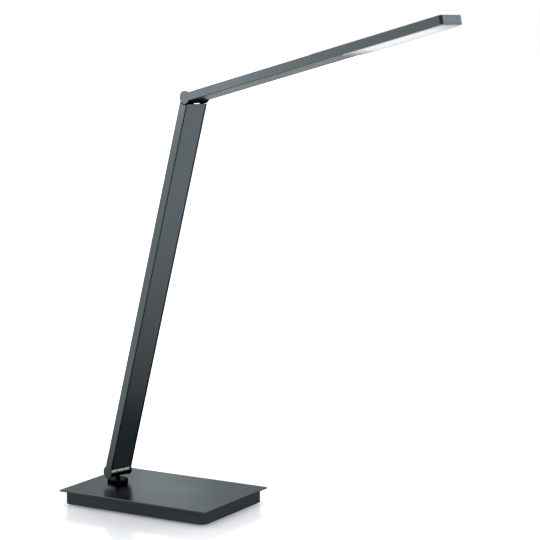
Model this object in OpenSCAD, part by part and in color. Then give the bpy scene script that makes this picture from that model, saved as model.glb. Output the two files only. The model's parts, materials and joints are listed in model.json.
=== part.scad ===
// Folding desk lamp: flat weighted base, swivel foot, two channel arms with barrel hinges,
// and an LED field under the end of the upper arm. Millimetres, +Z up, origin under the
// middle of the base. The arms stand in their use pose: every joint value is zero here.

/* [Base] */
// Width of the base plate, along X
base_w = 220; // [210:5:240]
// Depth of the base plate, along Y
base_d = 148; // [144:2:160]
// Height of the plate's top face above the desk
base_h = 20; // [20:0.5:24]
// Overhang of the plate past the plinth wall, on all sides
plate_overhang = 4; // [3:0.5:6]
// Place of the swivel along X, from the middle of the base
swivel_x = -71; // [-72:1:-68]

/* [Arms] */
// Width of both arms
arm_w = 35; // [34:0.5:36]
// Thickness of the lower arm
lower_t = 11; // [11:0.5:12]
// Thickness of the upper arm
upper_t = 10; // [10:0.5:11]
// Length of the lower arm, hinge to hinge
lower_len = 508; // [400:1:560]
// Length of the upper arm, elbow axis to tip
upper_len = 411; // [380:1:460]
// Radius of the round cheeks at both hinges
cheek_r = 8; // [7.6:0.1:8]

/* [Light] */
// Distance from the elbow axis to the start of the LED field
field_start = 262; // [260:1:270]
// LEDs in each of the two rows
led_count = 14; // [8:1:14]

/* [Pose] */
// Heading of the arms, turned from the base's long side
heading = -15; // [-90:1:90]
// Lean of the lower arm above the desk plane
lower_lean = 72.6; // [3:0.1:100]
// Rise of the upper arm above the desk plane
upper_rise = 12.8; // [-20:0.1:60]

/* [Hidden] */

$fn = 64;
anthracite = [0.20, 0.22, 0.235];
black_paint = [0.05, 0.055, 0.06];
steel = [0.70, 0.71, 0.72];
iron = [0.26, 0.26, 0.27];
zinc = [0.62, 0.63, 0.60];
pcb_green = [0.05, 0.30, 0.16];
white_plastic = [0.93, 0.94, 0.93];
black_rubber = [0.07, 0.07, 0.075];
copper = [0.72, 0.42, 0.25];
slack = 0.05;                       // radial running clearance of every shaft
gap = 0.3;                          // least gap between parts that pass each other

// Base
plate_t = 2;
plate_corner = 0.8;
plate_z = base_h - plate_t;         // underside of the plate
frame_w = base_w - 2 * plate_overhang;
frame_d = base_d - 2 * plate_overhang;
frame_wall = 2;
frame_r = 10;                       // outer corner radius of the plinth wall
frame_z = 2;                        // lower edge of the plinth wall
corner_block = 14;
cover_z = 2.6;                      // underside of the bottom cover, top of the pad
cover_t = 1.5;
floor_z = cover_z + cover_t;        // upper face of the bottom cover
screw_in = 8.5;                     // corner screws, in from the plinth's faces
screw_x = frame_w / 2 - screw_in;
screw_y = frame_d / 2 - screw_in;
screw_r = 1.45;
tap_r = 1.5;
clear_r = 1.75;
nut_h = 4;
nut_r = 3.4;
pad_w = 2 * screw_x - 24;            // anti-slip pad, clear of the corner screws
pad_d = frame_d - 12;
pad_r = 6;
ballast_t = 10;
ballast_x0 = swivel_x + 20;
ballast_x1 = frame_w / 2 - corner_block - 2;
ballast_d = frame_d - 2 * frame_wall - 6;
ballast_screw_in = 14;
ballast_screw_x = [ballast_x0 + ballast_screw_in, ballast_x1 - ballast_screw_in];
ballast_screw_y = 44;
board_x = swivel_x + 2;              // middle of the driver's board
board_y = 36;
board_z = 8;
board_w = 30;
board_d = 26;
driver_t = 1.6;
spacer_x = 12;
spacer_y = 10;
spacer_r = 2;
gland_x = swivel_x + 3;
gland_z = 9.5;
gland_bore = 2.75;
gland_r = 4.4;
gland_in = 7.5;                      // shank inside the wall
gland_flange = 2.2;
gland_out = 5.5;
gland_nut_t = 3;
wall_y = frame_d / 2;               // outer face of the rear wall
wire_r = 0.9;

// Swivel stack, from the plate downwards and upwards
post_r = 5;
thread_r = 4;
bush_flange = 0.6;
bush_r = 7;
disc_r = 13.5;
disc_top = base_h + 4.5;
disc_edge = 1.2;
disc_z = base_h + bush_flange + slack;
post_seat = 2.5;                     // depth of the post in the disc
post_bore = 2.2;                     // way of the wire through the post
grub_r = 1;
grub_up = 1.5;                       // grub screw above the disc's underside
stack_z = plate_z - 1.7;            // lower face of the fixed thrust washer, less its gap
stop_t = 1.9;
spring_h = 2.2;
swivel_nut_h = 3.9;
swivel_nut_r = 7.5;
post_foot = stack_z - stop_t - spring_h - swivel_nut_h - 1.2;
stop_r = 14.5;                      // circle on which the stop pin stands
stop_pin_r = 1.5;
swing = 90;                         // swivel travel each way from straight ahead
stop_half = swing - asin(stop_pin_r / stop_r) - 0.6;

// Hinges: x points to the open side of the cradle, y runs along the pin
hinge_z = base_h + 15;
wall = 1.4;                         // sheet of both arm channels
inner_y = arm_w / 2 - wall;         // inner face of the cheeks
cradle_r = 7;
cradle_bore = 6.3;
cradle_y = inner_y - gap;
cradle_cut = -0.9;                  // the cradle's two edges lie this far below the axis
knuckle_r = 6;
core_y = 5.1;
knuckle_y0 = 6;
knuckle_y1 = inner_y - 0.4;
core_flat = 5.05;
pin_r = 3;
head_y = 12;
nut_y = 10.5;
wire_hole = 1.3;
neck_r = 2.8;

// Arms
cover_sheet = 1;
seam = 1.3;                         // open seam between a cover and the side walls
cover_y = inner_y - seam;
lower_back = lower_t / 2 - wall;    // inner face of the lower arm's back wall
upper_top = upper_t / 2 - wall;     // inner face of the upper arm's top wall
elbow_gap_r = cheek_r + 0.7;        // hollow ends of the lower arm's side walls
tongue_t = 2;
tongue_len = 45;
tongue_screw_y = 8;
tongue_screw_in = 12;
cradle_screw_x = 34;                // cradle's screws, back from the elbow axis
tip_r = 3.5;                        // rounded upright corners at the tip
field_end = upper_len - wall - 0.4;
field_y = inner_y - 0.3;
clip_y = 8;

// Light and switch
board_t = 1.2;
board_x0 = field_start + 2;
board_x1 = field_end - 2;
led_in = 5;                         // first LED, in from the board's end
led_y = 6;                          // rows of LEDs, off the middle
led_pitch = (board_x1 - board_x0 - 2 * led_in) / (led_count - 1);
led_screw_x = [for (i = [0 : 2]) board_x0 + led_in + led_pitch * (0.5 + i * (led_count - 2) / 2)];
led_screw_r = 1;
led_screw_len = board_t + wall - 0.6;
reflector_y = field_y - 0.5;        // outer faces of the reflector box
reflector_wall = 1.6;
frame_low = -6;                     // lower face of the diffuser's frame
frame_t = 2;
rim = 1.3;
panel_t = 1.7;
switch_x = 240;
switch_z = -1.6;                    // upper face of the switch's board
switch_board_t = 1.6;
button_r = 5.4;
button_z = 2.2;                     // underside of the button
button_h = 3.9;
button_edge = 0.5;
plunger_r = 1.75;
plunger_h = 1.3;

// Placing

module at_swivel()
{
    translate([swivel_x, 0, 0]) rotate([0, 0, heading]) children();
}

module lower_frame()
{
    at_swivel() translate([0, 0, hinge_z]) rotate([0, -lower_lean, 0]) children();
}

module lower_hinge_frame()
{
    at_swivel() translate([0, 0, hinge_z]) rotate([0, -90, 0]) children();
}

module elbow_frame()
{
    lower_frame() translate([lower_len, 0, 0]) children();
}

module upper_frame()
{
    at_swivel()
        translate([lower_len * cos(lower_lean), 0, hinge_z + lower_len * sin(lower_lean)])
            rotate([0, -upper_rise, 0]) children();
}

module at_corners(x, y)
{
    for (sx = [-1, 1], sy = [-1, 1]) translate([sx * x, sy * y, 0]) children();
}

// Shared shapes

// A cylinder along Y, from y0 to y1
module y_rod(r, y0, y1, sides = $fn)
{
    translate([0, y0, 0]) rotate([-90, 0, 0]) cylinder(r = r, h = y1 - y0, $fn = sides);
}

// A box given by its two far corners
module block(low, high)
{
    translate(low) cube(high - low);
}

// A rectangle with round corners, centred
module round_rect(w, d, r)
{
    square([w - 2 * r, d], center = true);
    square([w, d - 2 * r], center = true);
    for (sx = [-1, 1], sy = [-1, 1])
        translate([sx * (w / 2 - r), sy * (d / 2 - r)]) circle(r = r);
}

// A pan-head screw that points up, its head's upper face at z = 0
module pan_screw(length, r = screw_r, head_r = 2.8, head_h = 1.6)
{
    difference() {
        union() {
            cylinder(r = r, h = length);
            translate([0, 0, -head_h]) cylinder(r = head_r, h = head_h);
        }
        translate([0, 0, -head_h - 0.1]) cylinder(r = head_r / 2, h = 0.8, $fn = 6);
    }
}

function unit(v) = v / norm(v);

// The wire's direction at point i: along the run, or the mean of the two runs that meet there
function wire_way(p, i) =
    i == 0 ? unit(p[1] - p[0]) :
    i == len(p) - 1 ? unit(p[i] - p[i - 1]) :
    unit(unit(p[i] - p[i - 1]) + unit(p[i + 1] - p[i]));

// A wire of eight sides through a list of points, with one ring at each point
module wire(points)
{
    sides = 8;
    rings = len(points);
    corners = [
        for (i = [0 : rings - 1])
            let (way = wire_way(points, i), side = unit(cross(way, [0.1, 1, 0.2])))
            let (up = cross(way, side))
            for (k = [0 : sides - 1])
                points[i] + wire_r * (cos(k * 360 / sides) * side + sin(k * 360 / sides) * up)
    ];
    walls = [
        for (i = [0 : rings - 2], k = [0 : sides - 1])
            let (a = i * sides + k, b = i * sides + (k + 1) % sides)
            each [[a, b, a + sides], [b, b + sides, a + sides]]
    ];
    first_cap = [for (k = [0 : sides - 1]) sides - 1 - k];
    last_cap = [for (k = [0 : sides - 1]) (rings - 1) * sides + k];
    inward = concat(walls, [first_cap, last_cap]);
    polyhedron(points = corners, faces = [for (f = inward) [for (n = [len(f) - 1 : -1 : 0]) f[n]]]);
}

// Base

module base_plate()
{
    color(anthracite)
        difference() {
            translate([0, 0, plate_z])
                linear_extrude(plate_t) round_rect(base_w, base_d, plate_corner);
            translate([swivel_x, 0, plate_z - 1]) cylinder(r = bush_r, h = plate_t + 2);
        }
}

module weld_nut()
{
    difference() {
        cylinder(r = nut_r, h = nut_h, $fn = 6);
        translate([0, 0, -1]) cylinder(r = tap_r, h = nut_h + 2);
    }
}

module plate_nuts()
{
    color(zinc)
        translate([0, 0, plate_z - nut_h]) {
            at_corners(screw_x, screw_y) weld_nut();
            for (x = ballast_screw_x, sy = [-1, 1])
                translate([x, sy * ballast_screw_y, 0]) weld_nut();
        }
}

module frame_outline(inset)
{
    round_rect(frame_w - 2 * inset, frame_d - 2 * inset, frame_r - inset);
}

module plinth_frame()
{
    block_h = plate_z - nut_h - 0.1 - floor_z;
    color(black_paint)
        difference() {
            union() {
                translate([0, 0, frame_z]) linear_extrude(plate_z - frame_z)
                    difference() {
                        frame_outline(0);
                        frame_outline(frame_wall);
                    }
                translate([0, 0, floor_z]) linear_extrude(block_h)
                    intersection() {
                        frame_outline(frame_wall / 2);
                        at_corners(frame_w / 2 - corner_block / 2, frame_d / 2 - corner_block / 2)
                            square(corner_block, center = true);
                    }
            }
            at_corners(screw_x, screw_y) cylinder(r = clear_r, h = base_h);
            translate([gland_x, wall_y - 5, gland_z]) y_rod(gland_r + slack, 0, 10);
        }
}

module ballast_weight()
{
    w = ballast_x1 - ballast_x0;
    color(iron)
        difference() {
            translate([ballast_x0 + w / 2, 0, plate_z - ballast_t])
                linear_extrude(ballast_t) round_rect(w, ballast_d, 4);
            for (x = ballast_screw_x, sy = [-1, 1]) translate([x, sy * ballast_screw_y, 0]) {
                cylinder(r = clear_r, h = base_h);
                translate([0, 0, plate_z - nut_h - 0.2]) cylinder(r = nut_r + 0.3, h = nut_h + 1);
            }
        }
}

module ballast_screws()
{
    color(zinc)
        for (x = ballast_screw_x, sy = [-1, 1])
            translate([x, sy * ballast_screw_y, plate_z - ballast_t]) pan_screw(ballast_t - 1);
}

module bottom_cover()
{
    color(black_paint)
        difference() {
            translate([0, 0, cover_z]) linear_extrude(cover_t) frame_outline(frame_wall + 0.3);
            at_corners(screw_x, screw_y) cylinder(r = clear_r, h = base_h);
        }
}

module cover_screws()
{
    color(zinc)
        at_corners(screw_x, screw_y) translate([0, 0, cover_z]) pan_screw(plate_z - cover_z - 1);
}

module antislip_pad()
{
    color(black_rubber) linear_extrude(cover_z) round_rect(pad_w, pad_d, pad_r);
}

module board_spacers()
{
    color(white_plastic)
        translate([board_x, board_y, floor_z])
            at_corners(spacer_x, spacer_y) cylinder(r = spacer_r, h = board_z - floor_z);
}

module driver_board()
{
    color(pcb_green)
        translate([board_x, board_y, board_z]) linear_extrude(driver_t) round_rect(board_w, board_d, 1);
}

// A choke, a chip and two capacitors
module driver_parts()
{
    translate([board_x, board_y, board_z + driver_t]) {
        color(copper) translate([-7, -5, 0]) cylinder(r = 4, h = 4.5);
        color(black_paint) translate([2, -6, 0]) linear_extrude(1.6) square([6, 5], center = true);
        color(steel) for (y = [-7, 1]) translate([11, y, 0]) cylinder(r = 2.5, h = 5.5);
    }
}

module terminal_block()
{
    color(white_plastic)
        translate([board_x - 2, board_y + 8, board_z + driver_t])
            difference() {
                linear_extrude(6) square([12, 7], center = true);
                for (x = [-3, 3]) {
                    translate([x, 0, 2.5]) y_rod(1.2, -5, 5);
                    translate([x, 0, 3]) cylinder(r = 1.4, h = 4);
                }
            }
}

module cable_gland()
{
    color(black_rubber)
        translate([gland_x, wall_y, gland_z])
            difference() {
                union() {
                    y_rod(gland_r, -gland_in, 0.5);
                    y_rod(gland_r + 1.1, 0, gland_flange);
                    y_rod(gland_r - 0.4, gland_flange - 0.2, gland_out);
                }
                y_rod(gland_bore, -gland_in - 1, gland_out + 1);
            }
}

module gland_nut()
{
    color(black_paint)
        translate([gland_x, wall_y - frame_wall, gland_z])
            difference() {
                y_rod(gland_r + 1.6, -gland_nut_t, 0, 6);
                y_rod(gland_r + slack, -gland_nut_t - 1, 1);
            }
}

module swivel_bush()
{
    color(black_rubber)
        translate([swivel_x, 0, 0])
            difference() {
                union() {
                    translate([0, 0, base_h]) cylinder(r = disc_r - 1.5, h = bush_flange);
                    translate([0, 0, stack_z + 0.2]) cylinder(r = bush_r - slack, h = base_h - stack_z);
                }
                cylinder(r = post_r + slack, h = base_h + 5);
            }
}

module thrust_washer()
{
    color(white_plastic)
        translate([swivel_x, 0, stack_z + 0.1])
            difference() {
                cylinder(r = 12, h = plate_z - stack_z - 0.1);
                translate([0, 0, -1]) cylinder(r = bush_r + slack, h = 5);
            }
}

module stop_pin()
{
    color(zinc)
        translate([swivel_x - stop_r, 0, stack_z - stop_t - 0.5])
            cylinder(r = stop_pin_r, h = plate_z - stack_z + stop_t + 0.5);
}

module base_wire()
{
    color("red")
        wire([
            [swivel_x, board_y - 7, board_z + 3],
            [swivel_x, board_y - 15, board_z + 3],
            [swivel_x, 12, 5.8],
            [swivel_x, 1, 5.8],
            [swivel_x, 0, 6.6],
            [swivel_x, 0, 9]
        ]);
}

// Swivel

module swivel_disc_profile(h)
{
    square([disc_r - disc_edge, h]);
    square([disc_r, h - disc_edge]);
    translate([disc_r - disc_edge, h - disc_edge]) circle(r = disc_edge);
}

module cradle_shell()
{
    intersection() {
        difference() {
            y_rod(cradle_r, -cradle_y, cradle_y);
            difference() {
                y_rod(cradle_bore, -cradle_y - 1, cradle_y + 1);
                block([-cradle_r, -core_y + 0.1, -cradle_r],
                      [-core_flat - slack, core_y - 0.1, cradle_r]);
            }
        }
        block([-cradle_r - 1, -cradle_y - 1, -cradle_r - 1], [cradle_cut, cradle_y + 1, cradle_r + 1]);
    }
}

module swivel_head()
{
    color(black_paint)
        at_swivel()
            difference() {
                union() {
                    translate([0, 0, disc_z]) rotate_extrude() swivel_disc_profile(disc_top - disc_z);
                    translate([0, 0, disc_top - 0.5])
                        cylinder(r = neck_r, h = hinge_z - cradle_bore - disc_top);
                    translate([0, 0, hinge_z]) rotate([0, -90, 0]) cradle_shell();
                }
                translate([0, 0, disc_z - 1]) cylinder(r = post_r + slack, h = post_seat + 1.1);
                cylinder(r = wire_hole, h = hinge_z);
                translate([-disc_r - 1, 0, disc_z + grub_up])
                    rotate([0, 90, 0]) cylinder(r = grub_r + slack, h = 10);
            }
}

module swivel_post()
{
    top = disc_z + post_seat;
    color(steel)
        at_swivel()
            difference() {
                union() {
                    translate([0, 0, post_foot]) cylinder(r = thread_r, h = stack_z - post_foot + 0.2);
                    translate([0, 0, stack_z + 0.1]) cylinder(r = post_r, h = top - stack_z - 0.1);
                }
                translate([0, 0, post_foot - 1]) cylinder(r = post_bore, h = top - post_foot + 2);
            }
}

module grub_screw()
{
    color(steel)
        at_swivel()
            translate([-disc_r + 0.4, 0, disc_z + grub_up])
                rotate([0, 90, 0])
                    difference() {
                        cylinder(r = grub_r, h = disc_r - post_r - 0.5);
                        translate([0, 0, -1]) cylinder(r = grub_r / 2, h = 2, $fn = 6);
                    }
}

module stop_washer()
{
    reach = stop_r + 2;
    side = [reach * 2 * cos(stop_half), reach * 2 * sin(stop_half)];
    color(steel)
        at_swivel()
            translate([0, 0, stack_z - stop_t])
                difference() {
                    linear_extrude(stop_t) {
                        circle(r = 9);
                        intersection() {
                            circle(r = reach);
                            polygon([[0, 0], [side.x, -side.y], [reach * 2, -reach * 2],
                                     [reach * 2, reach * 2], side]);
                        }
                    }
                    translate([0, 0, -1]) cylinder(r = thread_r + slack, h = 5);
                }
}

module spring_washers()
{
    z0 = stack_z - stop_t - spring_h;
    half = spring_h / 2;
    color(steel)
        at_swivel()
            translate([0, 0, z0]) rotate_extrude() {
                for (flip = [-1, 1])
                    translate([0, half])
                        polygon([[4.1, flip * half], [5, flip * half], [8, flip * 0.8], [8, flip * 0.05],
                                 [7, flip * 0.05], [4.1, flip * (half - 0.8)]]);
            }
}

module swivel_nut()
{
    color(zinc)
        at_swivel()
            translate([0, 0, stack_z - stop_t - spring_h - swivel_nut_h])
                difference() {
                    cylinder(r = swivel_nut_r, h = swivel_nut_h, $fn = 6);
                    translate([0, 0, -1]) cylinder(r = thread_r + slack, h = 6);
                }
}

module swivel_wire()
{
    color("red") at_swivel() wire([[0, 0, 10], [0, 0, hinge_z + knuckle_r + 0.4]]);
}

// Hinge parts, the same at both hinges

module hinge_core()
{
    difference() {
        y_rod(knuckle_r, -core_y, core_y);
        y_rod(pin_r + slack, -core_y - 1, core_y + 1);
        block([-cradle_r, -core_y - 1, -cradle_r], [-core_flat, core_y + 1, cradle_r]);
        translate([-cradle_r, 0, 0]) rotate([0, 90, 0]) cylinder(r = wire_hole, h = 2 * cradle_r);
    }
}

module hinge_pin()
{
    difference() {
        union() {
            y_rod(pin_r, -head_y - 0.5, nut_y + 3.1);
            y_rod(4.6, -head_y - 1.8, -head_y - slack);
        }
        translate([-5, 0, 0]) rotate([0, 90, 0]) cylinder(r = wire_hole, h = 10);
    }
}

module hinge_washers()
{
    for (side = [-1, 1])
        difference() {
            translate([0, side > 0 ? core_y + slack : -knuckle_y0 + slack, 0])
                y_rod(knuckle_r - 0.3, 0, knuckle_y0 - core_y - 2 * slack);
            y_rod(pin_r + slack, -knuckle_y0, knuckle_y0);
        }
}

module hinge_nut()
{
    difference() {
        y_rod(4.9, nut_y + 0.1, nut_y + 2.9, 6);
        y_rod(pin_r + slack, nut_y - 1, nut_y + 4);
    }
}

// Two outer knuckles on one tongue; the tongue lies against the arm's far wall
module hinge_bracket(tongue_z)
{
    difference() {
        union() {
            for (side = [-1, 1])
                translate([0, side > 0 ? knuckle_y0 : -knuckle_y1, 0])
                    y_rod(knuckle_r, 0, knuckle_y1 - knuckle_y0);
            block([0, -knuckle_y1, tongue_z], [tongue_len, knuckle_y1, tongue_z + tongue_t]);
        }
        block([-1, -knuckle_y0, -cradle_r], [8, knuckle_y0, cradle_r]);
        y_rod(pin_r + slack, -arm_w, arm_w);
        y_rod(4.95, -arm_w, -head_y);
        y_rod(5.2, nut_y, arm_w);
        for (side = [-1, 1])
            translate([tongue_len - tongue_screw_in, side * tongue_screw_y, 0])
                cylinder(r = clear_r, h = lower_t);
    }
}

// Two screws from inside an arm into its far wall
module wall_screws(x, z)
{
    for (side = [-1, 1])
        translate([x, side * tongue_screw_y, z]) pan_screw(tongue_t + wall - 0.4);
}

module wall_screw_holes(x, z)
{
    for (side = [-1, 1])
        translate([x, side * tongue_screw_y, z - 1]) cylinder(r = tap_r, h = wall + 0.7);
}

module lower_core() { color(steel) lower_hinge_frame() hinge_core(); }
module lower_pin() { color(steel) lower_hinge_frame() hinge_pin(); }
module lower_washers() { color(black_paint) lower_hinge_frame() hinge_washers(); }
module lower_nut() { color(zinc) lower_hinge_frame() hinge_nut(); }
module elbow_core() { color(iron) elbow_frame() hinge_core(); }
module elbow_pin() { color(steel) elbow_frame() hinge_pin(); }
module elbow_washers() { color(black_paint) elbow_frame() hinge_washers(); }
module elbow_nut() { color(zinc) elbow_frame() hinge_nut(); }

// Lower arm: x from the lower hinge to the elbow, its front face towards -z

module lower_channel()
{
    half = lower_t / 2;
    back_end = lower_len - 11.5;
    color(anthracite)
        lower_frame()
            difference() {
                union() {
                    block([8, -arm_w / 2, lower_back], [back_end, arm_w / 2, half]);
                    for (y = [-arm_w / 2, inner_y]) {
                        block([0, y, -half], [lower_len - 3, y + wall, half]);
                        y_rod(cheek_r, y, y + wall);
                    }
                }
                translate([lower_len, 0, 0]) y_rod(elbow_gap_r, -arm_w, arm_w);
                wall_screw_holes(tongue_len - tongue_screw_in, lower_back);
                wall_screw_holes(lower_len - cradle_screw_x, lower_back);
            }
}

module lower_cover()
{
    half = lower_t / 2;
    color(anthracite)
        lower_frame() {
            block([5.8, -cover_y, -half], [lower_len - 7, cover_y, -half + cover_sheet]);
            for (y = [-cover_y, cover_y - 1.2])
                block([14, y, -half + cover_sheet], [lower_len - 20, y + 1.2, -half + 4]);
        }
}

// Plastic clips that hold a cover to the far wall of its arm
module cover_clips(places, low, high)
{
    for (x = places, side = [-1, 1])
        translate([x, side * clip_y, low]) linear_extrude(high - low) round_rect(10, 5, 1);
}

module lower_clips()
{
    color(black_rubber)
        lower_frame()
            cover_clips([for (i = [0 : 4]) 70 + i * (lower_len - 140) / 4], -lower_t / 2 + cover_sheet,
                        lower_back);
}

module lower_bracket()
{
    color(steel) lower_frame() hinge_bracket(lower_back - tongue_t);
}

module lower_screws()
{
    color(zinc) lower_frame() wall_screws(tongue_len - tongue_screw_in, lower_back - tongue_t);
}

module lower_wire()
{
    color("red")
        lower_frame()
            wire([[10, 0, -2.2], [lower_len - 30, 0, -2.2], [lower_len - 24, 0, 0],
                  [lower_len + knuckle_r + 0.4, 0, 0]]);
}

module elbow_cradle()
{
    feet_z = [-2.5, 1.5];            // the feet, across the arm's thickness
    near_foot = [-15.4, -3];
    far_foot = [11.3, 14.2];
    color(black_paint)
        elbow_frame()
            difference() {
                union() {
                    cradle_shell();
                    for (foot = [near_foot, far_foot])
                        block([-13, foot[0], feet_z[0]], [-6.4, foot[1], feet_z[1]]);
                    block([-18, -knuckle_y1, feet_z[0]], [-11.6, knuckle_y1, lower_back]);
                    block([-tongue_len, -knuckle_y1, lower_back - tongue_t],
                          [-17, knuckle_y1, lower_back]);
                }
                translate([-20, 0, 0]) rotate([0, 90, 0]) cylinder(r = wire_hole, h = 20);
                for (side = [-1, 1])
                    translate([-cradle_screw_x, side * tongue_screw_y, 0])
                        cylinder(r = clear_r, h = lower_t);
            }
}

module cradle_screws()
{
    color(zinc) lower_frame() wall_screws(lower_len - cradle_screw_x, lower_back - tongue_t);
}

// Upper arm: x from the elbow to the tip, its underside towards -z

module upper_outline(inset)
{
    half = arm_w / 2 - inset;
    end = upper_len - inset;
    r = tip_r - inset;
    translate([0, -half]) square([end - r, 2 * half]);
    translate([0, -half + r]) square([end, 2 * (half - r)]);
    for (side = [-1, 1]) translate([end - r, side * (half - r)]) circle(r = r);
}

module upper_channel()
{
    half = upper_t / 2;
    color(anthracite)
        upper_frame()
            difference() {
                union() {
                    translate([0, 0, -half]) linear_extrude(upper_t) upper_outline(0);
                    for (y = [-arm_w / 2, inner_y]) y_rod(cheek_r, y, y + wall);
                }
                translate([0, 0, -half - 1]) linear_extrude(upper_top + half + 1) upper_outline(wall);
                block([-20, -inner_y, -20], [8, inner_y, 20]);
                wall_screw_holes(tongue_len - tongue_screw_in, upper_top);
                translate([switch_x, 0, 0]) cylinder(r = button_r + gap, h = upper_t);
                for (x = led_screw_x)
                    translate([x, 0, 0]) cylinder(r = led_screw_r + slack, h = half - 0.4);
            }
}

module upper_cover()
{
    half = upper_t / 2;
    color(anthracite)
        upper_frame() {
            block([6.4, -cover_y, -half], [field_start - 0.3, cover_y, -half + cover_sheet]);
            for (y = [-cover_y, cover_y - 1.2])
                block([14, y, -half + cover_sheet], [field_start - 8, y + 1.2, -half + 3.5]);
        }
}

module upper_clips()
{
    color(black_rubber)
        upper_frame() cover_clips([70, 135, 200], -upper_t / 2 + cover_sheet, upper_top);
}

module elbow_bracket()
{
    color(iron) upper_frame() hinge_bracket(upper_top - tongue_t);
}

module bracket_screws()
{
    color(zinc) upper_frame() wall_screws(tongue_len - tongue_screw_in, upper_top - tongue_t);
}

module upper_wire()
{
    color("red")
        upper_frame() {
            wire([[10, 0, -1.5], [214, 0, -1.5], [223, 5, -0.7], [231, 5, -0.7]]);
            wire([[249, 5, -0.7], [256, 5, -0.7], [field_start + 1.5, 5, 2.4]]);
        }
}

// LED field

module led_board()
{
    color(steel)
        upper_frame()
            difference() {
                block([board_x0, -13, upper_top - board_t], [board_x1, 13, upper_top]);
                for (x = led_screw_x) translate([x, 0, 0]) cylinder(r = led_screw_r + 0.2, h = upper_t);
            }
}

module led_chips()
{
    color([0.95, 0.85, 0.35])
        upper_frame()
            for (i = [0 : led_count - 1], side = [-1, 1])
                translate([board_x0 + led_in + i * led_pitch, side * led_y, upper_top - board_t - 0.35])
                    cube([3.5, 2.8, 0.7], center = true);
}

module led_screws()
{
    color(zinc)
        upper_frame()
            for (x = led_screw_x)
                translate([x, 0, upper_top - board_t])
                    pan_screw(led_screw_len, led_screw_r, 2 * led_screw_r, 1);
}

module reflector()
{
    color(white_plastic)
        upper_frame()
            difference() {
                block([field_start + 1, -reflector_y, -4], [field_end - 1, reflector_y, upper_top - board_t]);
                block([field_start + 1 + reflector_wall, -reflector_y + reflector_wall, -5],
                      [field_end - 1 - reflector_wall, reflector_y - reflector_wall, upper_top]);
                translate([field_start, 5, 1.6]) rotate([0, 90, 0]) cylinder(r = 1.5, h = 4);
            }
}

module field_outline(inset)
{
    len = field_end - field_start - 2 * inset;
    translate([(field_start + field_end) / 2, 0])
        round_rect(len, 2 * (field_y - inset), max(1.6 - inset, 0.4));
}

module diffuser_frame()
{
    color(white_plastic)
        upper_frame()
            translate([0, 0, frame_low]) linear_extrude(frame_t)
                difference() {
                    field_outline(0);
                    field_outline(rim);
                }
}

module diffuser_panel()
{
    color([0.97, 0.98, 0.98])
        upper_frame()
            translate([0, 0, frame_low + frame_t - panel_t])
                linear_extrude(panel_t) field_outline(rim + slack);
}

// Switch

module switch_board()
{
    color(pcb_green)
        upper_frame() block([switch_x - 14, -8, switch_z - switch_board_t], [switch_x + 14, 8, switch_z]);
}

module switch_spacers()
{
    color(white_plastic)
        upper_frame()
            for (side = [-1, 1])
                translate([switch_x + side * 11, 0, switch_z])
                    cylinder(r = spacer_r, h = upper_top - switch_z);
}

module switch_body()
{
    color(black_paint)
        upper_frame()
            difference() {
                block([switch_x - 3, -3, switch_z], [switch_x + 3, 3, 1.4]);
                translate([switch_x, 0, -0.2]) cylinder(r = 2.1, h = 3);
            }
}

module switch_button()
{
    color(steel)
        upper_frame()
            translate([switch_x, 0, 0]) {
                translate([0, 0, button_z]) cylinder(r = button_r + 1.4, h = upper_top - button_z - 0.1);
                translate([0, 0, button_z]) rotate_extrude() {
                    square([button_r, button_h - button_edge]);
                    square([button_r - button_edge, button_h]);
                    translate([button_r - button_edge, button_h - button_edge]) circle(r = button_edge);
                }
            }
}

module switch_plunger()
{
    color(black_paint)
        upper_frame()
            translate([switch_x, 0, button_z - plunger_h]) cylinder(r = plunger_r, h = plunger_h);
}

base_plate();
plate_nuts();
plinth_frame();
ballast_weight();
ballast_screws();
bottom_cover();
cover_screws();
antislip_pad();
board_spacers();
driver_board();
driver_parts();
terminal_block();
cable_gland();
gland_nut();
swivel_bush();
thrust_washer();
stop_pin();
base_wire();
swivel_head();
swivel_post();
grub_screw();
stop_washer();
spring_washers();
swivel_nut();
lower_core();
lower_pin();
lower_washers();
lower_nut();
swivel_wire();
lower_channel();
lower_cover();
lower_clips();
lower_bracket();
lower_screws();
lower_wire();
elbow_cradle();
cradle_screws();
elbow_core();
elbow_pin();
elbow_washers();
elbow_nut();
upper_channel();
upper_cover();
upper_clips();
elbow_bracket();
bracket_screws();
upper_wire();
led_board();
led_chips();
led_screws();
reflector();
diffuser_frame();
diffuser_panel();
switch_board();
switch_spacers();
switch_body();
switch_button();
switch_plunger();
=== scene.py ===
import json
import math

import bpy
import numpy as np
from mathutils.geometry import tessellate_polygon
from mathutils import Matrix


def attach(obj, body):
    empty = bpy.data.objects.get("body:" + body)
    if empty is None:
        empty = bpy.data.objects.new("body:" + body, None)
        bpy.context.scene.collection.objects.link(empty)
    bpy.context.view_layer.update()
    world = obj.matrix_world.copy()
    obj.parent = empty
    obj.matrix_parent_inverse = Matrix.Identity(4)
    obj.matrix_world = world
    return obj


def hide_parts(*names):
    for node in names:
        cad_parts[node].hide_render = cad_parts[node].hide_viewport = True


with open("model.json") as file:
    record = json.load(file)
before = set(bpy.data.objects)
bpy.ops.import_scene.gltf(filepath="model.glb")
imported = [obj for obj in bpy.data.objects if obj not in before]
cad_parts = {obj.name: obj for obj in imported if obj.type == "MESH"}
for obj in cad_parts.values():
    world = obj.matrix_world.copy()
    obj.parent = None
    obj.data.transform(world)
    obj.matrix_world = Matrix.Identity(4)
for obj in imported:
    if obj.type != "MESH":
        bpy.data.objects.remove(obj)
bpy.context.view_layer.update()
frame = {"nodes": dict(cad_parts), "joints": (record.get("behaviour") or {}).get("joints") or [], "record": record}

MM = 0.001
WALL = 1.4                          # sheet of the arms' channels
BEND, BEND_IN = 0.6, 0.8            # edge of a wall at a long bend: outer face, inner face
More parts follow.
